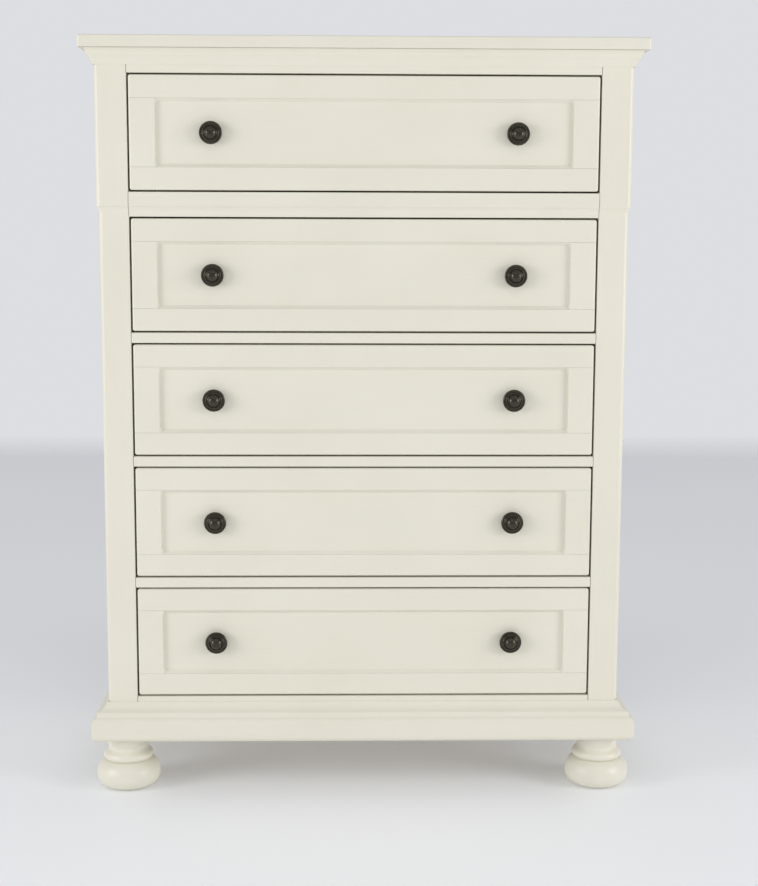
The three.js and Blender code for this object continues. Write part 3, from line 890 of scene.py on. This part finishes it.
# %% Build the slides
def build_slides(number):
    body = f"drawer_{number}"
    for word, side in SIDES.items():
        low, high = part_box(f"case_slide_{number}_{word}")
        centre = (low.z + high.z) / 2
        web = (high.x if side > 0 else low.x, centre)
        bm = channel(web, -side, low.y, high.y, **CASE_CHANNEL)
        hand_over(f"{body}_case_channel_{word}", bm, ZINC, "carcass", "slide_steel",
                  f"case_slide_{number}_{word}")
        low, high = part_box(f"{body}_slide_{word}")
        web = (low.x if side > 0 else high.x, centre)
        bm = channel(web, side, low.y, high.y, **BOX_CHANNEL)
        hand_over(f"{body}_box_channel_{word}", bm, ZINC, body, "slide_steel",
                  f"{body}_slide_{word}")
    return centre


for number in DRAWERS:
    print("slides", number, "centre height", round(build_slides(number), 4))


# %% [markdown]
# ## The stage
# The chest stands on a plain pale floor in a bright, even room. Two broad lights stand to the left
# and the right at about the height of the knobs: they lay a soft shadow on both sides of every
# knob and round every arris with light. The floor fades into the room far behind the chest.

# %% Floor
FLOOR_HALF_X, FLOOR_HALF_Y = 5.4, 4.5
FLOOR_SHADE, FLOOR_LIGHT = linear(239, 240, 242), linear(242, 243, 244)
FLOOR_GLOW, FLOOR_GLOW_COLOUR = 0.115, linear(246, 249, 255)
FADE_START, FADE_END = 0.7, 0.02


def floor_finish():
    finish, nodes, links, shader = new_finish("pale studio floor")
    cloud = streaks(nodes, links, (0.8, 0.8, 0.8), detail=2.0)
    tone = graded(nodes, links, cloud, [(NOISE_LOW, FLOOR_SHADE), (NOISE_HIGH, FLOOR_LIGHT)])
    links.new(tone, shader.inputs["Base Color"])
    shader.inputs["Roughness"].default_value = 0.55
    shader.inputs["Specular IOR Level"].default_value = 0.25
    shader.inputs["Emission Color"].default_value = FLOOR_GLOW_COLOUR
    shader.inputs["Emission Strength"].default_value = FLOOR_GLOW
    place = nodes.new("ShaderNodeTexCoord")
    parts = nodes.new("ShaderNodeSeparateXYZ")
    links.new(place.outputs["Object"], parts.inputs["Vector"])
    far = []
    for axis, half in (("X", FLOOR_HALF_X), ("Y", FLOOR_HALF_Y)):
        size = nodes.new("ShaderNodeMath")
        size.operation = "ABSOLUTE"
        links.new(parts.outputs[axis], size.inputs[0])
        fade = nodes.new("ShaderNodeMapRange")
        fade.inputs["From Min"].default_value = half - FADE_START
        fade.inputs["From Max"].default_value = half - FADE_END
        fade.inputs["To Min"].default_value = 1.0
        fade.inputs["To Max"].default_value = 0.0
        links.new(size.outputs[0], fade.inputs["Value"])
        far.append(fade.outputs["Result"])
    both = nodes.new("ShaderNodeMath")
    both.operation = "MULTIPLY"
    links.new(far[0], both.inputs[0])
    links.new(far[1], both.inputs[1])
    links.new(both.outputs[0], shader.inputs["Alpha"])
    return finish


def make_floor():
    bm = bmesh.new()
    bmesh.ops.create_grid(bm, x_segments=1, y_segments=1, size=1)
    bmesh.ops.scale(bm, vec=(FLOOR_HALF_X, FLOOR_HALF_Y, 1), verts=bm.verts)
    mesh = bpy.data.meshes.new("studio_floor")
    bm.to_mesh(mesh)
    bm.free()
    mesh.materials.append(floor_finish())
    floor = bpy.data.objects.new("studio_floor", mesh)
    bpy.context.scene.collection.objects.link(floor)
    return floor


studio_floor = make_floor()
print("floor", FLOOR_HALF_X * 2, "by", FLOOR_HALF_Y * 2)


# %% Room and lights
ROOM_COLOUR, ROOM_GLOW = linear(221, 222, 226), 0.69
room = bpy.data.worlds.new("pale room")
room.use_nodes = True
walls = room.node_tree.nodes["Background"]
walls.inputs["Color"].default_value = ROOM_COLOUR
glow = room.node_tree.nodes.new("ShaderNodeBackground")
glow.inputs["Color"].default_value = ROOM_COLOUR
glow.inputs["Strength"].default_value = ROOM_GLOW
seen = room.node_tree.nodes.new("ShaderNodeLightPath")
choice = room.node_tree.nodes.new("ShaderNodeMixShader")
room.node_tree.links.new(seen.outputs["Is Camera Ray"], choice.inputs[0])
room.node_tree.links.new(glow.outputs[0], choice.inputs[1])
room.node_tree.links.new(walls.outputs[0], choice.inputs[2])
room.node_tree.links.new(choice.outputs[0], room.node_tree.nodes["World Output"].inputs[0])
bpy.context.scene.world = room


def soft_light(name, place, aim, size, power):
    lamp = bpy.data.lights.new(name, "AREA")
    lamp.shape = "RECTANGLE"
    lamp.size, lamp.size_y = size
    lamp.energy = power
    light = bpy.data.objects.new(name, lamp)
    bpy.context.scene.collection.objects.link(light)
    light.location = place
    light.rotation_euler = (Vector(aim) - Vector(place)).to_track_quat("-Z", "Y").to_euler()


CHEST_MIDDLE = (0, -0.2, 0.75)
SOFT_BOX_X, SOFT_BOX_Y, SOFT_BOX_Z = 3.53, -2.08, 1.3
for word, side in SIDES.items():
    soft_light(f"{word} soft box", (side * SOFT_BOX_X, SOFT_BOX_Y, SOFT_BOX_Z), CHEST_MIDDLE,
               (1.6, 1.7), 56)
soft_light("overhead soft box", (0, -2.9, 3.4), (0, -1.4, 0), (3.0, 1.6), 9)


# %% [markdown]
# ## The camera
# The camera stands about three metres in front of the chest, a little above its middle, and looks
# slightly down, so the upright lines draw together a little towards the floor.

# %% Camera
CAMERA_PLACE = (-0.0344, -2.9788, 1.0259)
TURN, DIP, ROLL = math.radians(1.249), math.radians(8.082), math.radians(-0.199)
SENSOR, LONG_SIDE, FOCAL = 36.0, 886, 1600.0
lens = bpy.data.cameras.new("front camera")
lens.sensor_width = SENSOR
lens.lens = FOCAL / LONG_SIDE * SENSOR
camera = bpy.data.objects.new("front camera", lens)
bpy.context.scene.collection.objects.link(camera)
camera.matrix_world = (
    Matrix.Translation(CAMERA_PLACE)
    @ Matrix.Rotation(-TURN, 4, "Z")
    @ Matrix.Rotation(math.pi / 2 - DIP, 4, "X")
    @ Matrix.Rotation(-ROLL, 4, "Z")
)
bpy.context.scene.camera = camera
bpy.context.scene.view_settings.view_transform = "Standard"
print("lens", round(lens.lens, 2), "mm")
